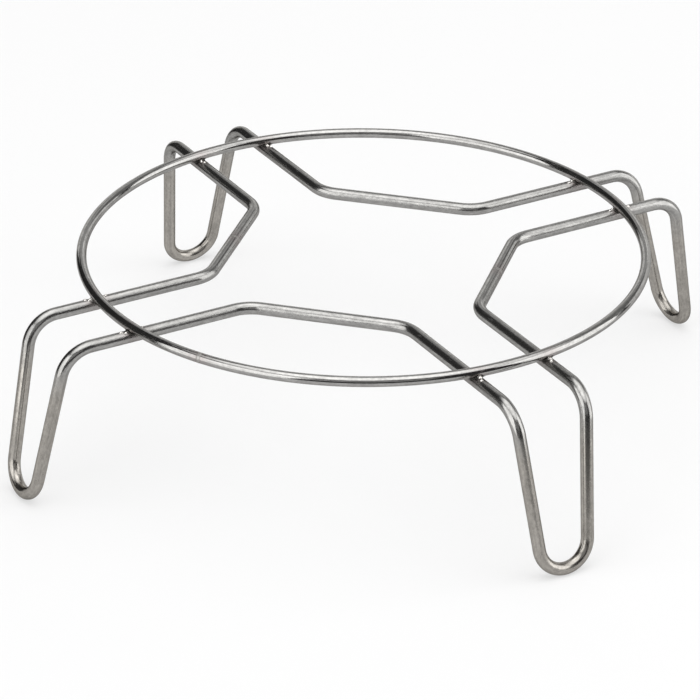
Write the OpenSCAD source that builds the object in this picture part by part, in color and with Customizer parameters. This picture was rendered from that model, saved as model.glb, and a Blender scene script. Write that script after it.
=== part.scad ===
// Propane burner stand: four looped wire legs under a round support ring, all welded from bent
// stainless steel wire. The frame is two equal bent wires, set half a turn apart and joined end to
// end. Origin on the floor under the middle of the ring, +Z up, arms along X and Y.

/* [Wire] */
// Diameter of the wire of the arms and legs
frame_wire = 5; // [4:0.5:7]
// Diameter of the wire of the ring
ring_wire = 4; // [3:0.5:6]

/* [Ring] */
// Diameter of the ring, between the middles of its wire
ring_dia = 220; // [180:5:240]
// Direction of the ring's own butt weld, counted from the right arm
ring_joint_angle = 207; // [200:1:250]

/* [Frame] */
// Height of the arms above the floor, at the middle of their wire
arm_height = 65.5; // [50:0.5:100]
// Distance between the two wires of an arm, middle to middle
arm_spacing = 30.5; // [26:0.5:40]
// Distance from the stand's axis to the corners where the arms begin
arm_root = 60; // [45:1:75]
// Distance from the stand's axis to the corners where the arms turn down
arm_end = 136; // [128:1:160]
// Distance from the stand's axis to the lowest point of each foot
foot_reach = 149.5; // [136:0.5:180]

/* [Bends] */
// Radius of the bends between arms and links, at the middle of the wire
root_bend = 14; // [8:0.5:20]
// Radius of the bends between arms and legs, at the middle of the wire
knee_bend = 12.5; // [8:0.5:16]
// Radius of the round foot at the end of each leg, at the middle of the wire
foot_bend = 10.5; // [7:0.5:12]
// Loss of wire diameter where the wire is stretched round a bend
bend_thinning = 0.04; // [0.02:0.01:0.1]

/* [Welds] */
// Depth by which the ring and an arm are pressed into each other at a cross weld
set_down = 0.8; // [0.4:0.1:1.2]
// Width of the metal that a cross weld squeezes out past the place where the wires touch
squeeze_out = 1.2; // [0.6:0.1:2]
// Length of a butt weld along the wire
butt_length = 1.8; // [1:0.1:3]
// Height of a butt weld's crown over the wire
butt_crown = 0.2; // [0.1:0.05:0.5]

/* [Hidden] */
$fn = 96;

// Vector helpers: a direction of length 1, the angle that a bend turns through, and the length
// that a bend takes from the straight wire on each side of its corner
function unit(v) = v / norm(v);
function turn(from, to) = acos(from * to);
function setback(radius, from, to) = radius * tan(turn(from, to) / 2);

// Radii of the wires and the ring
frame_r = frame_wire / 2;
wire_r = ring_wire / 2;
ring_r = ring_dia / 2;

// The ring lies on the arms, pressed into them by the set-down
ring_z = arm_height + frame_r + wire_r - set_down;
seat_z = arm_height + frame_r - set_down / 2;

// Half of an arm's width, and the distance out along it at which its wires pass under the ring
arm_side = arm_spacing / 2;
crossing_reach = sqrt(ring_r * ring_r - arm_side * arm_side);

// Half the length of the patch where pressed wires touch, and the cross weld's reach past it
touch_half = sqrt(max(frame_r, wire_r) * 2 * set_down - set_down * set_down);
cross_weld_r = touch_half + squeeze_out;

// Length that a straight wire runs on into the thinner wire of a bend
bend_lap = 0.25;

// Corners of one side of the arm that lies along +X; side is 1 or -1
arm_dir = [1, 0, 0];
function root_corner(side) = [arm_root, side * arm_side, arm_height];
function knee_corner(side) = [arm_end, side * arm_side, arm_height];

// Middle line of the leg, from between its knees down to the lowest point of the round foot
knee_middle = [arm_end, 0, arm_height];
foot_bottom = [foot_reach, 0, (frame_wire - bend_thinning) / 2];
leg_axis = unit(foot_bottom - knee_middle);
foot_centre = foot_bottom - foot_bend * leg_axis;

// Angle by which each leg wire leans in, so that it runs tangent into the round foot
leg_fall = norm(foot_centre - knee_middle);
leg_lean = atan2(arm_side, leg_fall) - asin(foot_bend / norm([arm_side, leg_fall]));

// Direction of one leg wire, downwards, and the point where it meets the round foot
function leg_dir(side) = leg_axis * cos(leg_lean) - [0, side * sin(leg_lean), 0];
function foot_side(side) = leg_axis * sin(leg_lean) + [0, side * cos(leg_lean), 0];
function foot_start(side) = foot_centre + foot_bend * foot_side(side);

// Link from the root corner of one arm to that of the next, in the direction of its side
function link_dir(side) = unit([-1, side, 0]);
link_middle = [(arm_root + arm_side) / 2, (arm_root + arm_side) / 2, arm_height];

// Straight lengths that the bends leave
root_setback = setback(root_bend, -link_dir(1), arm_dir);
knee_setback = setback(knee_bend, arm_dir, leg_dir(1));
link_half = norm(link_middle - root_corner(1)) - root_setback;

// Puts its children at a point, with their own X, Y and Z along three given directions
module place(origin, x, y, z) {
    multmatrix([
        [x[0], y[0], z[0], origin[0]],
        [x[1], y[1], z[1], origin[1]],
        [x[2], y[2], z[2], origin[2]]
    ])
        children();
}

// Straight wire between two points, run on at each end by a lap
module straight_wire(from, to, lap_from = bend_lap, lap_to = bend_lap) {
    along = unit(to - from);
    across = unit(cross(along, abs(along[2]) > 0.5 ? [1, 0, 0] : [0, 0, 1]));
    place(from - lap_from * along, across, cross(along, across), along)
        cylinder(d = frame_wire, h = norm(to - from) + lap_from + lap_to);
}

// Bent wire that starts at a point in one direction and turns by an angle towards a side
module bent_wire(start, along, towards, radius, angle) {
    place(start + radius * towards, -towards, along, cross(-towards, along))
        rotate_extrude(angle = angle)
            translate([radius, 0])
                circle(d = frame_wire - bend_thinning);
}

// Rounded corner of the wire, which arrives in one direction and leaves in another
module wire_corner(corner, from, to, radius) {
    towards = unit(to - (to * from) * from);
    start = corner - setback(radius, from, to) * from;
    bent_wire(start, from, towards, radius, turn(from, to));
}

// One side of an arm and leg along +X: root bend, arm wire, knee bend and leg wire
module leg_side(side) {
    root = root_corner(side);
    knee = knee_corner(side);
    down = leg_dir(side);
    wire_corner(root, -link_dir(side), arm_dir, root_bend);
    straight_wire(root + root_setback * arm_dir, knee - knee_setback * arm_dir);
    wire_corner(knee, arm_dir, down, knee_bend);
    straight_wire(knee + knee_setback * down, foot_start(side));
}

// Round foot that joins the two wires of the leg along +X
module foot() {
    bent_wire(foot_start(-1), leg_dir(-1), -foot_side(-1), foot_bend, 180 - 2 * leg_lean);
}

// Whole arm and leg, turned to its direction
module leg_loop(direction) {
    rotate([0, 0, direction]) {
        leg_side(1);
        leg_side(-1);
        foot();
    }
}

// Straight wire of a link, for a given length from the bend on one side of an arm
module link(direction, side, length, lap) {
    start = root_corner(side) + root_setback * link_dir(side);
    rotate([0, 0, direction])
        straight_wire(start, start + length * link_dir(side), lap_to = lap);
}

// Ring before its ends are cut and joined
module hoop() {
    translate([0, 0, ring_z])
        rotate_extrude()
            translate([ring_r, 0])
                circle(d = ring_wire);
}

// One bent wire of the frame, with legs at 180 and 270 degrees and seats pressed in by the ring
module frame_half() {
    difference() {
        union() {
            leg_loop(180);
            leg_loop(270);
            link(180, 1, 2 * link_half, bend_lap);
            link(180, -1, link_half - butt_length / 2, 0);
            link(270, 1, link_half - butt_length / 2, 0);
        }
        hoop();
    }
}

// Bead between two butted wire ends, along Z, with a crown that stands a little proud
module butt_bead(wire) {
    half = butt_length / 2;
    crown_r = (half * half + butt_crown * butt_crown) / (2 * butt_crown);
    rotate_extrude()
        intersection() {
            union() {
                translate([0, -half])
                    square([wire / 2, butt_length]);
                translate([wire / 2 + butt_crown - crown_r, 0])
                    circle(r = crown_r);
            }
            translate([0, -half])
                square([wire, butt_length]);
        }
}

// Butt weld in the middle of the link that follows an arm's direction
module frame_butt_weld(direction) {
    color("gainsboro")
        rotate([0, 0, direction])
            place(link_middle, [0, 0, 1], unit([1, 1, 0]), link_dir(1))
                butt_bead(frame_wire);
}

// Metal squeezed out all round one crossing, between the ring and the arm wire under it
module cross_weld(direction, side) {
    color("gainsboro")
        rotate([0, 0, direction])
            difference() {
                translate([crossing_reach, side * arm_side, seat_z])
                    sphere(r = cross_weld_r);
                translate([crossing_reach, side * arm_side, arm_height])
                    rotate([0, 90, 0])
                        cylinder(d = frame_wire, h = 4 * cross_weld_r, center = true);
                hoop();
            }
}

// Support ring, cut open where its ends are butted together
module ring() {
    color("silver")
        difference() {
            hoop();
            rotate([0, 0, ring_joint_angle])
                translate([ring_r, 0, ring_z])
                    cube([2 * ring_wire, butt_length, 2 * ring_wire], center = true);
        }
}

module ring_butt_weld() {
    color("gainsboro")
        rotate([0, 0, ring_joint_angle])
            translate([ring_r, 0, ring_z])
                rotate([90, 0, 0])
                    butt_bead(ring_wire);
}

module front_left_leg_wire() {
    color("darkgray")
        frame_half();
}

module back_right_leg_wire() {
    color("darkgray")
        rotate([0, 0, 180])
            frame_half();
}

module left_butt_weld() {
    frame_butt_weld(90);
}

module right_butt_weld() {
    frame_butt_weld(270);
}

module right_arm_front_weld() {
    cross_weld(0, -1);
}

module right_arm_back_weld() {
    cross_weld(0, 1);
}

module back_arm_right_weld() {
    cross_weld(90, -1);
}

module back_arm_left_weld() {
    cross_weld(90, 1);
}

module left_arm_back_weld() {
    cross_weld(180, -1);
}

module left_arm_front_weld() {
    cross_weld(180, 1);
}

module front_arm_left_weld() {
    cross_weld(270, -1);
}

module front_arm_right_weld() {
    cross_weld(270, 1);
}

ring();
ring_butt_weld();
front_left_leg_wire();
back_right_leg_wire();
left_butt_weld();
right_butt_weld();
right_arm_front_weld();
right_arm_back_weld();
back_arm_right_weld();
back_arm_left_weld();
left_arm_back_weld();
left_arm_front_weld();
front_arm_left_weld();
front_arm_right_weld();
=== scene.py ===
"""A propane burner stand of bright drawn stainless steel wire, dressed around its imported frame."""

import math

import bmesh
import bpy
from mathutils import Matrix, Vector, noise


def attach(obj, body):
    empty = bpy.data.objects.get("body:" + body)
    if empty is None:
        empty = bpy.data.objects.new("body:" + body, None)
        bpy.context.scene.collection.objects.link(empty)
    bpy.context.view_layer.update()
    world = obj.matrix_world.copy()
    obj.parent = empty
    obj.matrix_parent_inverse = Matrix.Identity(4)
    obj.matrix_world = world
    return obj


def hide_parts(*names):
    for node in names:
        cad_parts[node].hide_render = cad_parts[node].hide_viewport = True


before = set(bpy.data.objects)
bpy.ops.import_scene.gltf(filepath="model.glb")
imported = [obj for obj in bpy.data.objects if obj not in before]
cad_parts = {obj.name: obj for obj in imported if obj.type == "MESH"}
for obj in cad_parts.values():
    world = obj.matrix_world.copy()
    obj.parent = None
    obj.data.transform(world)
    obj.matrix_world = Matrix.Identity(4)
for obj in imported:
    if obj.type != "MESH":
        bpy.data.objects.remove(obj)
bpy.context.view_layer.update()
MM = 0.001


# ---------------------------------------------------------------------------------------------
# Support ring
# One length of 4 mm bright drawn stainless wire, rolled to a circle and butted end to end.
# It lies on the eight wires of the arms and is pressed a little way into them.

class Socket:
    """An output of a shader node, on which sums are written as plain Python."""

    def __init__(self, finish, socket):
        self.finish = finish
        self.socket = socket

    def combine(self, operation, a, b):
        """Works on two outputs or numbers with a Math node."""
        return self.finish.node("ShaderNodeMath", {"operation": operation}, {0: a, 1: b})

    def __add__(self, other):
        return self.combine("ADD", self, other)

    def __radd__(self, other):
        return self.combine("ADD", other, self)

    def __sub__(self, other):
        return self.combine("SUBTRACT", self, other)

    def __rsub__(self, other):
        return self.combine("SUBTRACT", other, self)

    def __mul__(self, other):
        return self.combine("MULTIPLY", self, other)

    def __rmul__(self, other):
        return self.combine("MULTIPLY", other, self)


class Finish:
    """A material that is built up node by node."""

    COLOUR_A, COLOUR_B, COLOUR_RESULT = 6, 7, 2
    EDGE_TINT = (0.495, 0.49, 0.48, 1.0)

    def __init__(self, name):
        self.material = bpy.data.materials.new(name)
        self.material.use_nodes = True
        self.tree = self.material.node_tree
        self.surface = self.tree.nodes["Principled BSDF"]

    def node(self, kind, settings=None, inputs=None, output=0):
        """Adds a node with its settings and inputs, and gives back one of its outputs."""
        made = self.tree.nodes.new(kind)
        for key, value in (settings or {}).items():
            setattr(made, key, value)
        for key, value in (inputs or {}).items():
            self.plug(made.inputs[key], value)
        return Socket(self, made.outputs[output])

    def plug(self, target, value):
        """Links a socket to an input, or sets the input to a plain value."""
        if isinstance(value, Socket):
            self.tree.links.new(value.socket, target)
        else:
            target.default_value = value

    def grain(self, place, scale, detail):
        """Fine noise at a place, stretched by a scale along each axis."""
        stretched = self.node(
            "ShaderNodeVectorMath", {"operation": "MULTIPLY"}, {0: place, 1: scale}
        )
        return self.node(
            "ShaderNodeTexNoise", {}, {"Vector": stretched, "Scale": 1.0, "Detail": detail}
        )

    def stretch(self, value, low, high):
        """Spreads the part of a value between two limits over 0 to 1."""
        return self.node(
            "ShaderNodeMapRange", {}, {"Value": value, "From Min": low, "From Max": high}
        )

    def blend(self, factor, a, b, kind="MIX"):
        """Mixes two colours by a factor, or with MULTIPLY tints the first by the second."""
        return self.node(
            "ShaderNodeMix", {"data_type": "RGBA", "blend_type": kind},
            {"Factor": factor, self.COLOUR_A: a, self.COLOUR_B: b}, output=self.COLOUR_RESULT,
        )

    def metal(self, colour, roughness, relief, depth):
        """Makes the surface bare metal with a colour, a roughness and a fine relief."""
        bump = self.node(
            "ShaderNodeBump", {}, {"Height": relief, "Strength": 1.0, "Distance": depth}
        )
        self.plug(self.surface.inputs["Base Color"], colour)
        self.plug(self.surface.inputs["Roughness"], roughness)
        self.plug(self.surface.inputs["Normal"], bump)
        self.surface.inputs["Metallic"].default_value = 1.0
        self.surface.inputs["Specular Tint"].default_value = self.EDGE_TINT
        return self.material


# The base colour turns warmer from the first height down, and fully so below the second.
LOW_WARMTH = (1.045, 1.0, 0.947, 1)
LOW_WARMTH_BEGINS = 60 * MM
LOW_WARMTH_FULL = 46 * MM
DRAWN_RELIEF = 0.016 * MM


def drawn_steel(name, light, dark, heat_colour, roughness):
    """Bright drawn wire: die lines along it, scuffs, heat tint near welds and a warmer tint low
    down.
    """
    finish = Finish(name)
    place = finish.node("ShaderNodeTexCoord", output="Object")
    height = finish.node("ShaderNodeSeparateXYZ", inputs={"Vector": place}, output="Z")
    drawn = finish.node("ShaderNodeAttribute", {"attribute_name": "drawn"}, output="Vector")
    heat = finish.node("ShaderNodeAttribute", {"attribute_name": "tint"}, output="Fac")
    strain = finish.node("ShaderNodeAttribute", {"attribute_name": "strain"}, output="Fac")
    streaks = finish.grain(drawn, scale=(1500.0, 1500.0, 25.0), detail=3.0)
    mottle = finish.grain(drawn, scale=(420.0, 420.0, 210.0), detail=4.0)
    specks = finish.grain(drawn, scale=(1200.0, 1200.0, 750.0), detail=2.0)
    rubbing = finish.grain(drawn, scale=(900.0, 900.0, 260.0), detail=5.0)
    die_lines = finish.grain(drawn, scale=(5200.0, 5200.0, 40.0), detail=2.0)
    scuffs = finish.stretch(rubbing, low=0.60, high=0.70)
    tone = finish.stretch(streaks * 0.4 + mottle * 0.3 + specks * 0.3, low=0.39, high=0.61)
    # Tinted warmer towards the bottom of the legs, by height alone.
    low_warmth = finish.stretch(height, low=LOW_WARMTH_BEGINS, high=LOW_WARMTH_FULL)
    steel = finish.blend(low_warmth, finish.blend(tone, dark, light), LOW_WARMTH, "MULTIPLY")
    colour = finish.blend(heat * (0.35 + mottle * 1.1), steel, heat_colour)
    shine = roughness + (1.0 - tone) * 0.09 + scuffs * 0.12 + heat * 0.10 + strain * 0.12
    relief = die_lines * 0.5 + mottle * 0.7 + specks * 0.2 - scuffs * 0.25
    return finish.metal(colour, shine, relief, DRAWN_RELIEF)


class Wire:
    """A wire on the bench: it is fed straight ahead and bent round pins, rim by rim."""

    SIDES = 32

    # A bend of this radius, or a tighter one, is dulled in full.
    TIGHT_BEND = 12 * MM

    # Length of a lump in a butt weld's bead, its middle share of the crown and how far it swings.
    LUMP = 1.1 * MM
    LUMP_MIDDLE = 0.55
    LUMP_SWING = 0.75
    SEAM_FALL = 4

    def __init__(self, name, start, along, diameter):
        self.name = name
        self.mesh = bmesh.new()
        self.drawn = self.mesh.verts.layers.float_vector.new("drawn")
        self.heat = self.mesh.verts.layers.float.new("tint")
        self.strain = self.mesh.verts.layers.float.new("strain")
        self.along = along.normalized()
        self.end = start.copy()
        self.travel = 0.0
        turn = self.along.to_track_quat("Z", "Y").to_matrix().to_4x4()
        made = bmesh.ops.create_circle(
            self.mesh, cap_ends=False, radius=diameter / 2, segments=self.SIDES,
            matrix=Matrix.Translation(start) @ turn,
        )
        self.rim = made["verts"]
        self.offsets = [turn.inverted() @ (vert.co - start) for vert in self.rim]
        self.rims = []
        self.mark()

    def mark(self):
        """Notes on the newest rim where its points lay on the straight, unbent wire."""
        for vert, offset in zip(self.rim, self.offsets):
            vert[self.drawn] = Vector((offset.x, offset.y, self.travel))
        self.rims.append((self.rim, self.end.copy(), self.travel))

    def grow(self, step):
        """Extrudes the open rim and leaves the new one ready to be moved."""
        around = zip(self.rim, self.rim[1:] + self.rim[:1])
        edges = [self.mesh.edges.get(pair) for pair in around]
        made = bmesh.ops.extrude_edge_only(self.mesh, edges=edges)
        fresh = [item for item in made["geom"] if isinstance(item, bmesh.types.BMVert)]
        self.rim = [min(fresh, key=lambda new: (new.co - old.co).length) for old in self.rim]
        self.travel += step

    def feed(self, length, step=2 * MM):
        """Runs straight ahead."""
        count = max(1, round(length / step))
        shift = self.along * (length / count)
        for _ in range(count):
            self.grow(length / count)
            bmesh.ops.translate(self.mesh, verts=self.rim, vec=shift)
            self.end += shift
            self.mark()

    def bend(self, towards, radius, angle, step=1 * MM):
        """Turns by an angle towards a side, at a radius to the middle of the wire."""
        towards = (towards - self.along * towards.dot(self.along)).normalized()
        centre = self.end + towards * radius
        count = max(3, round(radius * angle / step))
        turn = Matrix.Rotation(angle / count, 3, self.along.cross(towards))
        for _ in range(count):
            self.grow(radius * angle / count)
            bmesh.ops.rotate(self.mesh, verts=self.rim, cent=centre, matrix=turn)
            self.end = centre + turn @ (self.end - centre)
            self.along = turn @ self.along
            self.mark()
            for vert in self.rim:
                vert[self.strain] = min(1.0, self.TIGHT_BEND / radius)

    def warm(self, places, reach):
        """Tints the wire by heat near the given welds."""
        for vert in self.mesh.verts:
            nearest = min((vert.co - place).length for place in places)
            vert[self.heat] = math.exp(-((nearest / reach) ** 2))

    def swell(self, crown, seed):
        """Raises the wire into the uneven bead of a butt weld, scorched at its two seams."""
        for rim, middle, travel in self.rims:
            place = travel / self.travel * 2 - 1
            for vert in rim:
                lump = noise.noise(vert.co / self.LUMP + Vector((seed, 0, 0)))
                uneven = self.LUMP_MIDDLE + self.LUMP_SWING * lump
                vert.co += (vert.co - middle).normalized() * crown * (1 - place**2) * uneven
                vert[self.heat] = abs(place) ** self.SEAM_FALL

    def hand_over(self, material, node, slot):
        """Closes the ends and gives the finished wire in place of its node."""
        bmesh.ops.contextual_create(self.mesh, geom=self.rims[0][0])
        bmesh.ops.contextual_create(self.mesh, geom=self.rim)
        hand_over(self.name, self.mesh, material, node)


def hand_over(name, mesh, material, node):
    """Makes an object of a finished bmesh, which stands for its node in the frame."""
    bmesh.ops.recalc_face_normals(mesh, faces=mesh.faces)
    for face in mesh.faces:
        # Only the closed ends of a wire have more than four sides. They stay flat and crisp.
        face.smooth = len(face.verts) <= 4
        for edge in face.edges:
            edge.smooth = edge.smooth and face.smooth
    data = bpy.data.meshes.new(name)
    mesh.to_mesh(data)
    mesh.free()
    data.materials.append(material)
    piece = bpy.data.objects.new(name, data)
    bpy.context.scene.collection.objects.link(piece)
    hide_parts(node)
    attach(piece, "root")


def quarter(arm):
    """Turns a place on the right arm to the same place on another arm, counted anticlockwise."""
    return Matrix.Rotation(arm * math.pi / 2, 3, "Z")


RING_WIRE = 4 * MM
FRAME_WIRE = 5 * MM
RING_RADIUS = 110 * MM
ARM_HEIGHT = 65.5 * MM
ARM_SIDE = 15.25 * MM
SET_DOWN = 0.8 * MM
BUTT_LENGTH = 1.8 * MM
RING_HEIGHT = ARM_HEIGHT + (FRAME_WIRE + RING_WIRE) / 2 - SET_DOWN
SEAT_HEIGHT = ARM_HEIGHT + (FRAME_WIRE - SET_DOWN) / 2
CROSSING_REACH = math.sqrt(RING_RADIUS**2 - ARM_SIDE**2)
CROSSINGS = [
    quarter(arm) @ Vector((CROSSING_REACH, side * ARM_SIDE, SEAT_HEIGHT))
    for arm in range(4) for side in (-1, 1)
]


def ring_place(angle):
    """Middle of the ring's wire in a direction, and the way the wire runs there."""
    inward = Vector((-math.cos(angle), -math.sin(angle), 0))
    return inward * -RING_RADIUS + Vector((0, 0, RING_HEIGHT)), Vector((inward.y, -inward.x, 0))


RING_JOINT = math.radians(207)
HALF_GAP = BUTT_LENGTH / 2 / RING_RADIUS
RING_STEP = 1.5 * MM
RING_HEAT_REACH = 4.5 * MM

ring_steel = drawn_steel(
    "bright_ring_wire", light=(0.396, 0.391, 0.380, 1), dark=(0.258, 0.254, 0.247, 1),
    heat_colour=(0.29, 0.265, 0.258, 1), roughness=0.06,
)
ring_start, ring_way = ring_place(RING_JOINT + HALF_GAP)
ring = Wire("support_ring", ring_start, ring_way, RING_WIRE)
ring.bend(
    Vector((-ring_start.x, -ring_start.y, 0)), RING_RADIUS, 2 * (math.pi - HALF_GAP), RING_STEP
)
ring.warm(CROSSINGS + [ring_place(RING_JOINT)[0]], RING_HEAT_REACH)
ring.hand_over(ring_steel, "ring", "ring_wire")


# ---------------------------------------------------------------------------------------------
# Butt weld of the ring
# The ring's two ends are butted and fused, and the bead is dressed nearly flush. It stays a
# little uneven and duller than the wire, with a faint line where it meets the drawn surface.

def fused_steel(name, light, dark, scorch_and_shade, roughness, depth):
    """Weld metal, lumpy and satin; the tint darkens scorched seams and paints shade into crotches.
    """
    finish = Finish(name)
    place = finish.node("ShaderNodeTexCoord", output="Object")
    scorch_and_shade_mask = finish.node("ShaderNodeAttribute", {"attribute_name": "tint"}, output="Fac")
    lumps = finish.grain(place, scale=(1300.0, 1300.0, 1300.0), detail=2.0)
    pits = finish.grain(place, scale=(3800.0, 3800.0, 3800.0), detail=2.0)
    tone = finish.stretch(lumps * 0.65 + pits * 0.35, low=0.38, high=0.60)
    # The tint gives butt welds their scorched seams, and cross welds painted shade in the crotch.
    colour = finish.blend(scorch_and_shade_mask * (1.0 - tone * 0.12), finish.blend(tone, dark, light), scorch_and_shade)
    shine = roughness + (1.0 - tone) * 0.15 + scorch_and_shade_mask * 0.25
    return finish.metal(colour, shine, lumps * 0.7 + pits * 0.3, depth)


BUTT_CROWN = 0.03 * MM
BUTT_STEP = 0.09 * MM

dressed_steel = fused_steel(
    "dressed_weld_metal", light=(0.38, 0.37, 0.355, 1), dark=(0.26, 0.25, 0.24, 1),
    scorch_and_shade=(0.22, 0.205, 0.195, 1), roughness=0.33, depth=0.012 * MM,
)
bead_start, bead_way = ring_place(RING_JOINT - HALF_GAP)
bead = Wire("ring_joint_bead", bead_start, bead_way, RING_WIRE)
bead.bend(Vector((-bead_start.x, -bead_start.y, 0)), RING_RADIUS, 2 * HALF_GAP, BUTT_STEP)
bead.swell(BUTT_CROWN, seed=3.0)
bead.hand_over(dressed_steel, "ring_butt_weld", "weld_metal")


# ---------------------------------------------------------------------------------------------
# Frame wires
# Two equal lengths of 5 mm bright drawn stainless wire, each bent cold on pins into two arms,
# four knees and two looped feet. The second is the first turned half round. The bends are
# duller than the straights, and the legs are tinted warmer towards the bottom.

DRAWN_WIRE = FRAME_WIRE - 0.1 * MM
ARM_ROOT = 60 * MM
ARM_END = 136 * MM
FOOT_REACH = 149.5 * MM
ROOT_BEND = 14 * MM
KNEE_BEND = 12.5 * MM
FOOT_BEND = 10.5 * MM
FOOT_STEP = 0.8 * MM
BEND_THINNING = 0.04 * MM
FRAME_HEAT_REACH = 5.0 * MM
OUTWARD = Vector((1, 0, 0))
SIDEWAYS = Vector((0, 1, 0))
LINK_WAY = Vector((-1, 1, 0)).normalized()
LINK_MIDDLE = Vector(((ARM_ROOT + ARM_SIDE) / 2, (ARM_ROOT + ARM_SIDE) / 2, ARM_HEIGHT))
FRAME_JOINTS = [quarter(1) @ LINK_MIDDLE, quarter(3) @ LINK_MIDDLE]

knee_corner = Vector((ARM_END, 0, ARM_HEIGHT))
foot_bottom = Vector((FOOT_REACH, 0, (FRAME_WIRE - BEND_THINNING) / 2))
leg_axis = (foot_bottom - knee_corner).normalized()
foot_centre = foot_bottom - leg_axis * FOOT_BEND
leg_fall = (foot_centre - knee_corner).length
leg_lean = math.atan2(ARM_SIDE, leg_fall) - math.asin(FOOT_BEND / math.hypot(ARM_SIDE, leg_fall))
leg_down = leg_axis * math.cos(leg_lean) + SIDEWAYS * math.sin(leg_lean)
foot_edge = foot_centre + FOOT_BEND * (
    leg_axis * math.sin(leg_lean) - SIDEWAYS * math.cos(leg_lean)
)
root_angle = math.pi / 4
knee_angle = OUTWARD.angle(leg_down)
root_setback = ROOT_BEND * math.tan(root_angle / 2)
knee_setback = KNEE_BEND * math.tan(knee_angle / 2)
arm_straight = ARM_END - ARM_ROOT - root_setback - knee_setback
leg_straight = (foot_edge - Vector((ARM_END, -ARM_SIDE, ARM_HEIGHT))).length - knee_setback
link_straight = math.sqrt(2) * (ARM_ROOT - ARM_SIDE) - 2 * root_setback
half_link = (link_straight - BUTT_LENGTH) / 2


def bend_arm(wire, arm):
    """Bends one arm with its leg and foot, from the root on its right to that on its left."""
    turned = quarter(arm)
    wire.bend(turned @ OUTWARD, ROOT_BEND, root_angle)
    wire.feed(arm_straight)
    wire.bend(turned @ leg_down, KNEE_BEND, knee_angle)
    wire.feed(leg_straight)
    wire.bend(turned @ SIDEWAYS, FOOT_BEND, math.pi - 2 * leg_lean, FOOT_STEP)
    wire.feed(leg_straight)
    wire.bend(turned @ -OUTWARD, KNEE_BEND, knee_angle)
    wire.feed(arm_straight)
    wire.bend(turned @ LINK_WAY, ROOT_BEND, root_angle)


frame_steel = drawn_steel(
    "bright_frame_wire", light=(0.376, 0.372, 0.361, 1), dark=(0.233, 0.230, 0.223, 1),
    heat_colour=(0.255, 0.23, 0.226, 1), roughness=0.06,
)

for node, first_arm in (("front_left_leg_wire", 2), ("back_right_leg_wire", 0)):
    before = quarter(first_arm - 1)
    start = before @ (LINK_MIDDLE + LINK_WAY * BUTT_LENGTH / 2)
    wire = Wire(node.replace("leg_wire", "bent_wire"), start, before @ LINK_WAY, DRAWN_WIRE)
    wire.feed(half_link)
    bend_arm(wire, first_arm)
    wire.feed(link_straight)
    bend_arm(wire, first_arm + 1)
    wire.feed(half_link)
    wire.warm(CROSSINGS + FRAME_JOINTS, FRAME_HEAT_REACH)
    wire.hand_over(frame_steel, node, "frame_wire")


# ---------------------------------------------------------------------------------------------
# Butt welds of the frame
# The two bent wires are fused end to end in the middle of the left and the right link. Both
# beads are dressed nearly flush, of the same dulled metal as the ring's.

for node, arm, seed in (("left_butt_weld", 1, 11.0), ("right_butt_weld", 3, 17.0)):
    way = quarter(arm) @ LINK_WAY
    bead = Wire(
        node.replace("butt_weld", "joint_bead"),
        quarter(arm) @ LINK_MIDDLE - way * BUTT_LENGTH / 2, way, DRAWN_WIRE,
    )
    bead.feed(BUTT_LENGTH, BUTT_STEP)
    bead.swell(BUTT_CROWN, seed)
    bead.hand_over(dressed_steel, node, "weld_metal")


# ---------------------------------------------------------------------------------------------
# Cross welds
# At each of the eight crossings the ring is fused to the arm under it. The metal fills the
# crotch between the two wires, painted near black there as shade, and two small bright beads
# of spatter stand on the arm beside the ring, one behind the other.

# Where the tint is set, this weld metal is painted near black as shade in the crotch.
weld_steel = fused_steel(
    "fused_weld_metal", light=(0.72, 0.70, 0.67, 1), dark=(0.42, 0.40, 0.38, 1),
    scorch_and_shade=(0.02, 0.018, 0.016, 1), roughness=0.16, depth=0.02 * MM,
)
WELD_ROOT = 1.5 * MM
WELD_REACH = 5.6 * MM
WELD_FILLET = 1.0 * MM
RIPPLE_LENGTH = 1.3 * MM
RIPPLE_SHARE = 0.5

# The weld's skin runs this deep under those of the wires, and so shows only where metal is added.
WELD_HIDDEN = 0.012 * MM

# Each bead's way out along the arm, its way round the arm, and its radius.
BEADS = ((2.65 * MM, 0.35 * MM, 0.62 * MM), (4.25 * MM, -0.45 * MM, 0.55 * MM))
BEAD_FILLET = 0.25 * MM
# Painted shade in the crotch fades out over this distance from each bead.
BEAD_SHADE_FADE = 0.25 * MM
BEAD_STRAY_ALONG = 0.12
BEAD_STRAY_ROUND = 1 * MM
BEAD_DRAWN_OUT = 0.8

# Where the noise is read for how far the beads stray: one place for each side of the ring.
STRAY_OUT = 5.3
STRAY_UP = 1.7

NUGGET_DIVISIONS = 6
NUGGET_HALVINGS = 11


def blend_distance(a, b, reach):
    """Smaller of two distances, rounded off where they are nearly equal."""
    near = max(reach - abs(a - b), 0.0) / reach
    return min(a, b) - near * near * reach / 4


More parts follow.
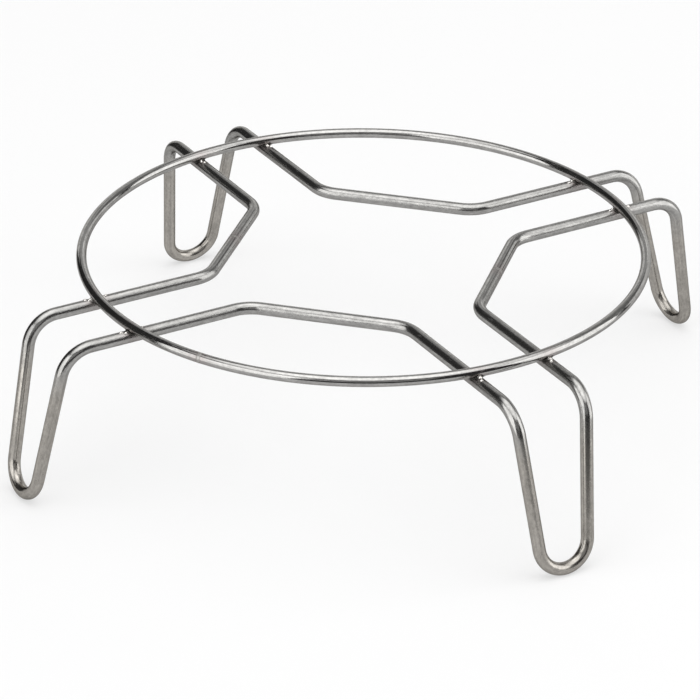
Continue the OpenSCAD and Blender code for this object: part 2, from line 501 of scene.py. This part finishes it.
def weld_distance(place, turned, side, seed):
    """How far a place lies outside the weld metal, and its painted shade away from the beads."""
    ring_gap = math.hypot(place.xy.length - RING_RADIUS, place.z - RING_HEIGHT) - RING_WIRE / 2
    out, across, up = turned.transposed() @ place - Vector(
        (CROSSING_REACH, side * ARM_SIDE, ARM_HEIGHT)
    )
    arm_gap = math.hypot(across, up) - DRAWN_WIRE / 2
    round_arm = math.atan2(across, up) * FRAME_WIRE / 2
    ripple = noise.noise(place / RIPPLE_LENGTH + Vector((seed, 0, 0)))
    stray = noise.noise(Vector((seed, math.copysign(STRAY_OUT, out), STRAY_UP)))
    swelling = 1.0 + RIPPLE_SHARE * ripple
    gap = blend_distance(ring_gap, arm_gap, WELD_FILLET * swelling)
    # Painted shade: the weld metal is darkened everywhere except on and round the beads.
    crotch_shade = 1.0
    for reach, off, size in BEADS:
        along_gap = (abs(out) - reach * (1.0 + BEAD_STRAY_ALONG * stray)) * BEAD_DRAWN_OUT
        round_gap = round_arm - off - stray * BEAD_STRAY_ROUND
        bead_gap = math.hypot(along_gap, round_gap, arm_gap) - size * swelling
        gap = blend_distance(gap, bead_gap, BEAD_FILLET)
        crotch_shade = min(crotch_shade, max(0.0, bead_gap / BEAD_SHADE_FADE))
    return gap + WELD_HIDDEN, crotch_shade


def cross_weld(node, arm, side, seed):
    """Grows a ball outwards from inside the arm until it meets the weld's surface."""
    turned = quarter(arm)
    root = turned @ Vector((CROSSING_REACH, side * ARM_SIDE, SEAT_HEIGHT - WELD_ROOT))
    mesh = bmesh.new()
    crotch_shade = mesh.verts.layers.float.new("tint")
    bmesh.ops.create_icosphere(
        mesh, subdivisions=NUGGET_DIVISIONS, radius=1.0, matrix=Matrix.Identity(4)
    )
    for vert in mesh.verts:
        ray = vert.co.normalized()
        near, far = 0.0, WELD_REACH
        for _ in range(NUGGET_HALVINGS):
            middle = (near + far) / 2
            if weld_distance(root + ray * middle, turned, side, seed)[0] < 0:
                near = middle
            else:
                far = middle
        vert.co = root + ray * near
        # The tint layer holds painted shade for the crotch, which fades out at the beads.
        vert[crotch_shade] = weld_distance(vert.co, turned, side, seed)[1]
    hand_over(node.replace("_weld", "_nugget"), mesh, weld_steel, node)


for index, (node, arm, side) in enumerate((
    ("right_arm_front_weld", 0, -1),
    ("right_arm_back_weld", 0, 1),
    ("back_arm_right_weld", 1, -1),
    ("back_arm_left_weld", 1, 1),
    ("left_arm_back_weld", 2, -1),
    ("left_arm_front_weld", 2, 1),
    ("front_arm_left_weld", 3, -1),
    ("front_arm_right_weld", 3, 1),
)):
    cross_weld(node, arm, side, seed=23.0 + 9.0 * index)


# ---------------------------------------------------------------------------------------------
# Studio
# A white table top with a wide floor round it, which the metal does not mirror. Three stacked
# discs glow overhead, a soft box on each side, and dimmer cards behind and in front.

TABLE_RADIUS = 0.42
FLOOR_RADIUS = 2.2
FLOOR_SIDES = 96
FLOOR_COLOUR = (0.70, 0.70, 0.70, 1)
FLOOR_GLOW = 0.55
WHITE = (1, 1, 1, 1)

paint = Finish("pale_floor")
paint.surface.inputs["Base Color"].default_value = FLOOR_COLOUR
paint.surface.inputs["Roughness"].default_value = 1.0
paint.surface.inputs["Specular IOR Level"].default_value = 0.0
seen = [
    paint.node("ShaderNodeLightPath", output=ray_kind)
    for ray_kind in ("Is Camera Ray", "Is Glossy Ray", "Is Transmission Ray")
]
glow = paint.node("ShaderNodeEmission", inputs={"Color": WHITE, "Strength": 1.0})
shown = paint.node(
    "ShaderNodeMixShader",
    inputs={
        0: (seen[0] + seen[1] + seen[2]) * FLOOR_GLOW,
        1: Socket(paint, paint.surface.outputs["BSDF"]),
        2: glow,
    },
)
paint.plug(paint.tree.nodes["Material Output"].inputs["Surface"], shown)


def lay_floor(name, mesh):
    """Makes a pale part of the studio of a finished bmesh."""
    data = bpy.data.meshes.new(name)
    mesh.to_mesh(data)
    mesh.free()
    data.materials.append(paint.material)
    part = bpy.data.objects.new(name, data)
    bpy.context.scene.collection.objects.link(part)
    return part


table_mesh = bmesh.new()
bmesh.ops.create_circle(table_mesh, cap_ends=True, radius=TABLE_RADIUS, segments=FLOOR_SIDES)
lay_floor("table_top", table_mesh)

floor_mesh = bmesh.new()
bmesh.ops.create_circle(floor_mesh, cap_ends=False, radius=TABLE_RADIUS, segments=FLOOR_SIDES)
made = bmesh.ops.extrude_edge_only(floor_mesh, edges=floor_mesh.edges[:])
outer = [item for item in made["geom"] if isinstance(item, bmesh.types.BMVert)]
bmesh.ops.scale(floor_mesh, verts=outer, vec=Vector((1, 1, 1)) * FLOOR_RADIUS / TABLE_RADIUS)
bmesh.ops.recalc_face_normals(floor_mesh, faces=floor_mesh.faces)
far_floor = lay_floor("far_floor", floor_mesh)
far_floor.visible_glossy = False
far_floor.visible_shadow = False


def hang(name, lamp, azimuth, elevation, distance):
    """Puts a lamp in its place, facing the stand from a direction in degrees."""
    panel = bpy.data.objects.new(name, lamp)
    aim = Matrix.Rotation(math.radians(azimuth), 3, "Z") @ Matrix.Rotation(
        math.radians(-elevation), 3, "Y"
    )
    outward = aim @ OUTWARD
    panel.location = outward * distance
    panel.rotation_euler = outward.to_track_quat("Z", "Y").to_euler()
    bpy.context.scene.collection.objects.link(panel)


for name, azimuth, elevation, distance, diameter, radiance in (
    ("overhead_rim", -75, 84, 3.2, 5.4, 1.25),
    ("overhead_middle", -90, 82, 3.3, 4.6, 0.75),
    ("overhead_core", -105, 82, 3.4, 2.8, 0.75),
):
    disc = bpy.data.lights.new(name, "AREA")
    disc.shape = "DISK"
    disc.size = diameter
    disc.energy = radiance * math.pi * math.pi * diameter**2 / 4
    hang(name, disc, azimuth, elevation, distance)

for name, azimuth, elevation, distance, width, height, radiance in (
    ("left_box", 186, 16, 3.5, 3.7, 4.2, 2.35),
    ("right_box", -34, 15, 3.5, 3.2, 4.0, 2.4),
    ("back_card", 45, 4, 3.6, 7.2, 2.6, 1.3),
    ("dim_back_card", 19, 37, 3.6, 2.8, 1.6, 0.26),
    ("middle_back_card", 60, 33, 3.6, 2.4, 1.7, 0.6),
    ("front_card", -122, 26, 3.6, 3.8, 1.6, 0.42),
):
    box = bpy.data.lights.new(name, "AREA")
    box.shape = "RECTANGLE"
    box.size = width
    box.size_y = height
    box.energy = radiance * math.pi * width * height
    hang(name, box, azimuth, elevation, distance)

ROOM_COLOUR = (0.05, 0.05, 0.05, 1)
room = bpy.data.worlds.new("dim_room")
room.use_nodes = True
room.node_tree.nodes["Background"].inputs["Color"].default_value = ROOM_COLOUR
bpy.context.scene.world = room

CAMERA_AZIMUTH = math.radians(-29.857)
CAMERA_ELEVATION = math.radians(27.636)
CAMERA_ROLL = math.radians(0.259)
CAMERA_DISTANCE = 1.428
CAMERA_TARGET = Vector((-0.01346, -0.01307, 0.03403))
CAMERA_SENSOR = 36.0
CAMERA_LENS = 188.05
back = Vector((
    math.sin(CAMERA_AZIMUTH) * math.cos(CAMERA_ELEVATION),
    -math.cos(CAMERA_AZIMUTH) * math.cos(CAMERA_ELEVATION),
    math.sin(CAMERA_ELEVATION),
))
camera_data = bpy.data.cameras.new("camera")
camera_data.sensor_width = CAMERA_SENSOR
camera_data.lens = CAMERA_LENS
camera = bpy.data.objects.new("camera", camera_data)
camera.location = CAMERA_TARGET + back * CAMERA_DISTANCE
level = (-back).to_track_quat("-Z", "Y").to_matrix()
camera.rotation_euler = (level @ Matrix.Rotation(CAMERA_ROLL, 3, "Z")).to_euler()
bpy.context.scene.collection.objects.link(camera)
bpy.context.scene.camera = camera
bpy.context.scene.view_settings.view_transform = "Standard"
